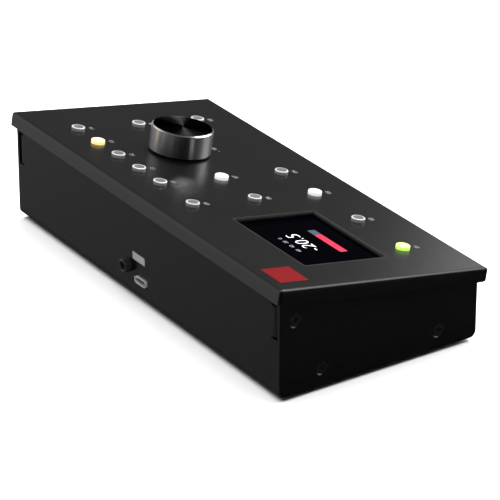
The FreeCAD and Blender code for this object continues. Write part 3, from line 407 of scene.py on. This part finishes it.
def dress(node, material):
    """Gives a CAD node one material."""
    mesh = nodes[node].data
    mesh.materials.clear()
    mesh.materials.append(material)


for node_name in nodes:
    dress(node_name, finishes.get(node_name, steel))
print("dressed", len(nodes))

# %% [markdown]
# The knob is turned from a solid bar, and the tool leaves fine rings. Light that falls on rings is
# spread across them: that is why the side shows upright streaks and the face shows wedges. They
# could be painted on, but then they would turn with the knob. An anisotropic shader makes them
# from the lamps instead: its tangent follows the rings, and a quarter of a turn of its rotation
# spreads the light across them.

# %% The direction of the rings
knob_centre = on_deck(*knob_spot) @ Vector((0, 0, 0))
quarter_turn = 0.25


def vector_math(tree, operation, source, constant, constant_first=False):
    """A vector math node with one linked and one fixed vector."""
    node = tree.nodes.new("ShaderNodeVectorMath")
    node.operation = operation
    fixed, linked = (0, 1) if constant_first else (1, 0)
    node.inputs[fixed].default_value = constant
    tree.links.new(source, node.inputs[linked])
    return node


def ring_direction(tree):
    """From the knob's axis to the surface point, and the direction of the ring through it."""
    place = tree.nodes.new("ShaderNodeTexCoord")
    local = vector_math(tree, "SUBTRACT", place.outputs["Object"], knob_centre)
    offset = local.outputs["Vector"]
    ring = vector_math(tree, "CROSS_PRODUCT", offset, deck_normal, constant_first=True)
    return offset, ring.outputs["Vector"]


print("knob centre", [round(c / mm, 2) for c in knob_centre], "mm")

# %% The pattern of the rings
ring_group, ring_in, ring_out = new_group("turned_rings", [("Scale", 5000.0)], ["Rings"])
ring_offset, ring_run = ring_direction(ring_group)
ring_radius = ring_group.nodes.new("ShaderNodeVectorMath")
ring_radius.operation = "LENGTH"
ring_group.links.new(ring_run, ring_radius.inputs[0])
ring_level = vector_math(ring_group, "DOT_PRODUCT", ring_offset, deck_normal)
ring_place = ring_group.nodes.new("ShaderNodeCombineXYZ")
ring_group.links.new(ring_radius.outputs["Value"], ring_place.inputs["X"])
ring_group.links.new(ring_level.outputs["Value"], ring_place.inputs["Y"])
ring_noise = ring_group.nodes.new("ShaderNodeTexNoise")
ring_noise.inputs["Detail"].default_value = 3.0
ring_group.links.new(ring_place.outputs["Vector"], ring_noise.inputs["Vector"])
ring_group.links.new(ring_in.outputs["Scale"], ring_noise.inputs["Scale"])
ring_group.links.new(ring_noise.outputs["Fac"], ring_out.inputs["Rings"])
print("group", ring_group.name)

# %% The knob's turned metal
ring_tint = 0.07
ring_height = 0.05 * mm
ring_bump = 0.04


def turned_metal(name, color, roughness, anisotropy, scale):
    """Metal turned round the knob's axis."""
    material = bpy.data.materials.new(name)
    material.use_nodes = True
    tree = material.node_tree
    shader = tree.nodes["Principled BSDF"]
    shader.inputs["Metallic"].default_value = 1.0
    shader.inputs["Anisotropic"].default_value = anisotropy
    shader.inputs["Anisotropic Rotation"].default_value = quarter_turn
    tree.links.new(ring_direction(tree)[1], shader.inputs["Tangent"])
    rings = tree.nodes.new("ShaderNodeGroup")
    rings.node_tree = ring_group
    rings.inputs["Scale"].default_value = scale
    vary_color(tree, rings.outputs["Rings"], color, ring_tint)
    vary_roughness(tree, rings.outputs["Rings"], roughness * 0.8, roughness * 1.2)
    raise_surface(tree, rings.outputs["Rings"], ring_bump, ring_height)
    return material


knob_side = turned_metal("knob_side", (0.5, 0.5, 0.505), 0.36, 0.75, 5000)
knob_rim = turned_metal("knob_rim", (0.92, 0.92, 0.93), 0.27, 0.0, 3000)
knob_face = turned_metal("knob_face", (0.012, 0.012, 0.0122), 0.3, 0.95, 6000)
face_shader = knob_face.node_tree.nodes["Principled BSDF"]
face_shader.inputs["Specular Tint"].default_value = (0.3, 0.3, 0.3, 1)
print("knob metals", knob_side.name, knob_rim.name, knob_face.name)

# %% [markdown]
# The keys and the knob replace plainer CAD pieces. They are modelled with the same operators that
# a hand would use: a primitive goes into edit mode, faces are picked by where they are and which
# way they face, and are extruded, inset or bevelled. The finished piece is then set down and its
# place is put into its mesh, as a CAD piece has it, so that patterns on Object coordinates fit.

# %% Into edit mode and back


def start_edit():
    """Goes into edit mode with nothing selected."""
    bpy.ops.object.mode_set(mode="EDIT")
    bpy.ops.mesh.select_mode(type="FACE")
    bpy.ops.mesh.select_all(action="DESELECT")


def end_edit():
    """Comes back from edit mode."""
    bpy.ops.object.mode_set(mode="OBJECT")


print("tools", start_edit.__name__, end_edit.__name__)

# %% Picking and pushing faces


def pick_faces(test):
    """Selects the faces of the object in edit mode whose centre and normal pass a test."""
    mesh = bmesh.from_edit_mesh(bpy.context.object.data)
    mesh.faces.ensure_lookup_table()
    for face in mesh.faces:
        face.select_set(bool(test(face.calc_center_median(), face.normal)))
    bmesh.update_edit_mesh(bpy.context.object.data)


def faces_up(centre, normal):
    """True for a face that looks up."""
    return normal.z > 0.9


def faces_down(centre, normal):
    """True for a face that looks down."""
    return normal.z < -0.9


def push_out(distance):
    """Extrudes the picked faces straight up, or down where the distance is negative."""
    bpy.ops.mesh.extrude_region_move(TRANSFORM_OT_translate={"value": (0, 0, distance)})


print("tools", pick_faces.__name__, push_out.__name__)

# %% A first cylinder, and setting a piece down


def cylinder(radius, low, high, sides):
    """An upright cylinder between two heights, its place in its mesh, and nothing else selected."""
    bpy.ops.object.select_all(action="DESELECT")
    bpy.ops.mesh.primitive_cylinder_add(
        vertices=sides, radius=radius, depth=high - low, location=(0, 0, (low + high) / 2))
    bpy.ops.object.transform_apply(location=True, rotation=True, scale=True)
    return bpy.context.object


def settle(piece, matrix):
    """Moves a finished piece to its place and puts that place into its mesh."""
    bpy.ops.object.select_all(action="DESELECT")
    piece.select_set(True)
    bpy.context.view_layer.objects.active = piece
    piece.matrix_world = matrix
    bpy.ops.object.transform_apply(location=True, rotation=True, scale=True)


print("tools", cylinder.__name__, settle.__name__)

# %% [markdown]
# A key is one milky moulding: a cap with a rounded rim round a sunk disc, a collar under the deck
# that keeps it in, and a stem down to its switch. Fourteen keys could be modelled one by one, but
# they come out of one mould, so here too one is made and copied.

# %% Key cap, modelled once
cap_radius = 3.0 * mm
cap_top = 1.45 * mm
rim_bevel = 0.3 * mm
rim_width = 0.35 * mm
disc_edge = 0.12 * mm
disc_sink = 0.15 * mm
disc_radius = 2.3 * mm
collar_top = -1.4 * mm
collar_flare = 1.3
collar_height = 0.8 * mm
stem_inset = 2.4 * mm
stem_length = 3.1 * mm


def model_key_cap():
    """A key with its bevelled rim, sunk disc, collar and stem, standing on the deck's origin."""
    piece = cylinder(cap_radius, collar_top, cap_top, 64)
    start_edit()
    pick_faces(faces_up)
    bpy.ops.mesh.bevel(offset=rim_bevel, segments=4, affect="EDGES")
    pick_faces(lambda centre, normal: normal.z > 0.999 and centre.xy.length < 0.1 * mm)
    bpy.ops.mesh.inset(thickness=rim_width)
    bpy.ops.mesh.inset(thickness=disc_edge, depth=-disc_sink)
    pick_faces(faces_down)
    push_out(0)
    bpy.ops.transform.resize(value=(collar_flare, collar_flare, 1))
    push_out(-collar_height)
    bpy.ops.mesh.inset(thickness=stem_inset)
    push_out(-stem_length)
    end_edit()
    bpy.ops.object.shade_smooth_by_angle(angle=math.radians(35))
    return piece


cap_master = model_key_cap()
print("key cap faces", len(cap_master.data.polygons))

# %% [markdown]
# A key is lit from below through its milky plastic. The light could be a lamp under each key, but
# fourteen small lamps make a noisy picture, so the plastic gives its own light. A dark key has a
# rim and a grey printed disc, and the top of its rim is coloured lighter as a painted highlight.
# A lit key glows through rim and disc alike.

# %% Key finishes


def glowing(name, color, glow, strength, roughness=0.3):
    """A grainy material that also gives light."""
    material = grainy(name, color, roughness, bump=0.05)
    shader = material.node_tree.nodes["Principled BSDF"]
    shader.inputs["Emission Color"].default_value = (*glow, 1)
    shader.inputs["Emission Strength"].default_value = strength
    return material


key_looks = {
    "clear": (
        glowing("key_rim_clear", (0.17, 0.172, 0.175), (0, 0, 0), 0.0, 0.12),
        glowing("key_disc_clear", (0.085, 0.087, 0.09), (0, 0, 0), 0.0, 0.25),
        # painted highlight: this lighter grey on the top of a dark key's rim stands in for the light
        # it catches
        glowing("key_rim_highlight_clear", (0.40, 0.40, 0.41), (0, 0, 0), 0.0, 0.12)),
    "white": (
        glowing("key_rim_white", (0.5, 0.5, 0.5), (1.0, 1.0, 1.0), 0.45),
        glowing("key_disc_white", (0.6, 0.6, 0.6), (1.0, 1.0, 1.0), 0.85)),
    "green": (
        glowing("key_rim_green", (0.6, 0.85, 0.2), (0.4, 0.8, 0.04), 0.7),
        glowing("key_disc_green", (0.6, 0.85, 0.2), (0.62, 1.0, 0.15), 1.1)),
    "amber": (
        glowing("key_rim_amber", (0.9, 0.7, 0.3), (1.0, 0.66, 0.2), 0.7),
        glowing("key_disc_amber", (0.95, 0.8, 0.4), (1.0, 0.84, 0.45), 1.1)),
}
lit_keys = {"key_01": "green", "key_03": "white", "key_07": "white", "key_13": "amber"}
print("key looks", sorted(key_looks))

# %% [markdown]
# Each copy takes the place of its CAD key and rides on the same body, so it goes down when that key
# is pressed. Which face gets which material is told by its height and its distance from the middle.

# %% Which face is disc, rim or painted rim highlight
disc_depth_zone = 0.3 * mm
rim_depth_zone = 0.4 * mm


def finish_cap(cap, look):
    """Gives each face of a key cap the disc, rim or painted rim-highlight material."""
    cap.data.materials.clear()
    for material in key_looks[look]:
        cap.data.materials.append(material)
    # on a dark key the top of the rim gets the painted highlight material
    edge_index = 2 if look == "clear" else 0
    for face in cap.data.polygons:
        in_disc = face.center.xy.length < disc_radius
        if in_disc and face.center.z > cap_top - disc_depth_zone:
            face.material_index = 1
        elif face.center.z > cap_top - rim_depth_zone:
            face.material_index = edge_index


print("disc to", round(disc_radius / mm, 2), "mm of", round(cap_radius / mm, 2), "mm")

# %% Set the fourteen keys
key_names = sorted(name for name in nodes if name.startswith("key_") and name != "key_lamps")
key_spots = {}
for name in key_names:
    low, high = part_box(name)
    middle = deck.inverted() @ ((low + high) / 2)
    key_spots[name] = (middle.x / mm, middle.y / mm)
    look = lit_keys.get(name, "clear")
    cap = cap_master.copy()
    cap.data = cap_master.data.copy()
    cap.name = name + "_cap_moulding"
    bpy.context.collection.objects.link(cap)
    finish_cap(cap, look)
    settle(cap, on_deck(*key_spots[name]))
    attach(cap, name + "_cap")
    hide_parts(name)
bpy.data.objects.remove(cap_master)
print("keys set", len(key_spots))

# %% [markdown]
# Each key has a number beside it, printed on the deck in white ink, and the knob has marks for less
# and more. A picture of the letters would blur when seen from close by. So the text is typed as a
# curve, given the thickness of ink, made a mesh, and laid on the deck to be read by the user.

# %% Ink and the number printer
white_ink = grainy("white_ink", (0.22, 0.22, 0.22), 0.5, bump=0.1)
ink_depth = 0.006
letter_scale = 1.4


def print_text(name, words, x, v, tall, ink, lift=0.0, thinner=0.0):
    """Words on the deck, centred on a point and read from the user's side. Sizes are in mm."""
    bpy.ops.object.select_all(action="DESELECT")
    bpy.ops.object.text_add()
    piece = bpy.context.object
    piece.name = name
    piece.data.body = words
    piece.data.size = tall * letter_scale * mm
    piece.data.align_x = "CENTER"
    piece.data.align_y = "CENTER"
    piece.data.extrude = ink_depth * mm
    piece.data.offset = -thinner * mm
    bpy.ops.object.convert(target="MESH")
    piece = bpy.context.object
    piece.data.materials.clear()
    piece.data.materials.append(ink)
    settle(piece, on_deck(x, v, lift + ink_depth))
    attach(piece, "case")


print("ink", white_ink.name)

# %% Print the numbers
number_tall = 2.1
number_below_key = 7.2
marks_below_knob = 18.0
for number, name in enumerate(key_names, start=1):
    key_x, key_v = key_spots[name]
    number_v = key_v - number_below_key
    print_text("number_%02d" % number, "%02d" % number, key_x, number_v, number_tall, white_ink)
marks_v = knob_spot[1] - marks_below_knob
print_text("knob_marks", "-  00  +", knob_spot[0], marks_v, number_tall, white_ink)
print("numbers printed", len(key_names))

# %% [markdown]
# A coloured square lies in the deck's corner beyond the display, and the rear wall has a printed
# block above the data socket. Both are so thin that they could be painted with a mask, but as thin
# plates with rounded corners they keep a sharp edge and stay pieces of their own.

# %% A thin plate with rounded corners
plate_corner = 0.3


def flat_plate(name, width, height, thick, material, matrix):
    """A thin plate with rounded corners, centred on its place. Sizes are in mm."""
    bpy.ops.object.select_all(action="DESELECT")
    bpy.ops.mesh.primitive_plane_add(size=1)
    piece = bpy.context.object
    piece.name = name
    piece.scale = (width * mm, height * mm, 1)
    bpy.ops.object.transform_apply(location=True, rotation=True, scale=True)
    start_edit()
    bpy.ops.mesh.select_mode(type="VERT")
    bpy.ops.mesh.select_all(action="SELECT")
    bpy.ops.mesh.bevel(offset=plate_corner * mm, segments=4, affect="VERTICES")
    bpy.ops.mesh.select_all(action="SELECT")
    push_out(thick * mm)
    bpy.ops.mesh.select_all(action="SELECT")
    bpy.ops.mesh.normals_make_consistent(inside=False)
    end_edit()
    piece.data.materials.append(material)
    settle(piece, matrix)
    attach(piece, "case")


print("plate corner", plate_corner, "mm")

# %% Red tile and the rear mark
red_enamel = grainy("red_enamel", (0.1, 0.001, 0.002), 0.5, bump=0.05, IOR=1.15)
flat_plate("red_tile", 14.2, 13.6, 0.05, red_enamel, on_deck(-90.5, 38.7))
mark_place = Matrix.Translation(Vector((2.0, 49.322, 21.2)) * mm)
mark_turn = Matrix.Rotation(math.radians(-90), 4, "X")
flat_plate("rear_mark", 9.5, 3.5, 0.02, white_ink, mark_place @ mark_turn)
print("plates red_tile and rear_mark")

# %% [markdown]
# The display shows a level bar, a large number and a small scale. They could be a picture on the
# glass. As thin glowing sheets just above it they stay sharp, and they give their own light, as a
# display does.

# %% Display content
glass_level = -2.19
sheet_thick = 0.01
bar_height = 3.7
bar_v = -5.55
show_white = glowing("show_white", (0.8, 0.8, 0.8), (0.9, 0.92, 0.95), 0.8)
show_grey = glowing("show_grey", (0.2, 0.22, 0.25), (0.3, 0.32, 0.36), 0.5)
show_red = glowing("show_red", (0.35, 0.01, 0.03), (0.62, 0.02, 0.06), 0.6)
show_slate = glowing("show_slate", (0.03, 0.04, 0.06), (0.04, 0.05, 0.09), 0.5)
print_text("display_number", "-20.5", -57.5, 6.0, 6.5, show_white, glass_level, thinner=0.18)
print_text("display_scale", "60   40   20   0", -58.5, 13.5, 1.8, show_grey, glass_level)
for bar_name, bar_width, bar_x, bar_look in (
        ("display_bar_full", 18.6, -61.0, show_red),
        ("display_bar_rest", 5.2, -49.1, show_slate)):
    bar_place = on_deck(bar_x, bar_v, glass_level)
    flat_plate(bar_name, bar_width, bar_height, sheet_thick, bar_look, bar_place)
print("display content number, scale and bar")

# %% [markdown]
# The knob is modelled as the lathe cuts it: a bar of the full width, a bright chamfer round the
# top, a narrow step down to the face, and from below a hollow for the nut and a bore for the
# shaft. A spun profile gives the same shape, but this way every cut is one line that can be changed
# alone. The rings inset into the face keep its shading even.

# %% The knob's sizes
knob_radius = 13.6 * mm
knob_foot = 1.0 * mm
knob_top = 11.6 * mm
chamfer = 0.55 * mm
face_step = 0.2 * mm
face_sink = 0.06 * mm
face_rings = (3.0, 3.0, 3.0, 2.8)
knob_wall = 3.1 * mm
nut_hollow = 4.2 * mm
bore_wall = 7.45 * mm
bore_length = 5.2 * mm
print("knob", round(2 * knob_radius / mm, 1), "mm wide, top", round(knob_top / mm, 1), "mm")

# %% Turn the knob


def model_knob():
    """The knob with its chamfer, face, hollow and bore, standing on the deck's origin."""
    piece = cylinder(knob_radius, knob_foot, knob_top - chamfer, 192)
    start_edit()
    pick_faces(faces_up)
    push_out(chamfer)
    narrowing = (knob_radius - chamfer) / knob_radius
    bpy.ops.transform.resize(value=(narrowing, narrowing, 1))
    bpy.ops.mesh.inset(thickness=face_step, depth=-face_sink)
    for ring_width in face_rings:
        bpy.ops.mesh.inset(thickness=ring_width * mm)
    pick_faces(faces_down)
    bpy.ops.mesh.inset(thickness=knob_wall)
    push_out(nut_hollow)
    bpy.ops.mesh.inset(thickness=bore_wall)
    push_out(bore_length)
    end_edit()
    bpy.ops.object.shade_smooth_by_angle(angle=math.radians(25))
    return piece


turned_knob = model_knob()
turned_knob.name = "turned_knob"
print("knob faces", len(turned_knob.data.polygons))

# %% Finish the knob and set it down
face_depth_zone = 0.3 * mm
for metal in (knob_side, knob_rim, knob_face):
    turned_knob.data.materials.append(metal)
for face in turned_knob.data.polygons:
    looks_up = face.normal.z > 0.3
    if looks_up and face.center.xy.length > knob_radius - chamfer:
        face.material_index = 1
    elif looks_up and face.center.z > knob_top - face_depth_zone:
        face.material_index = 2
settle(turned_knob, on_deck(*knob_spot))
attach(turned_knob, "knob")
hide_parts("volume_knob")
print("knob", turned_knob.name, "replaces volume_knob")
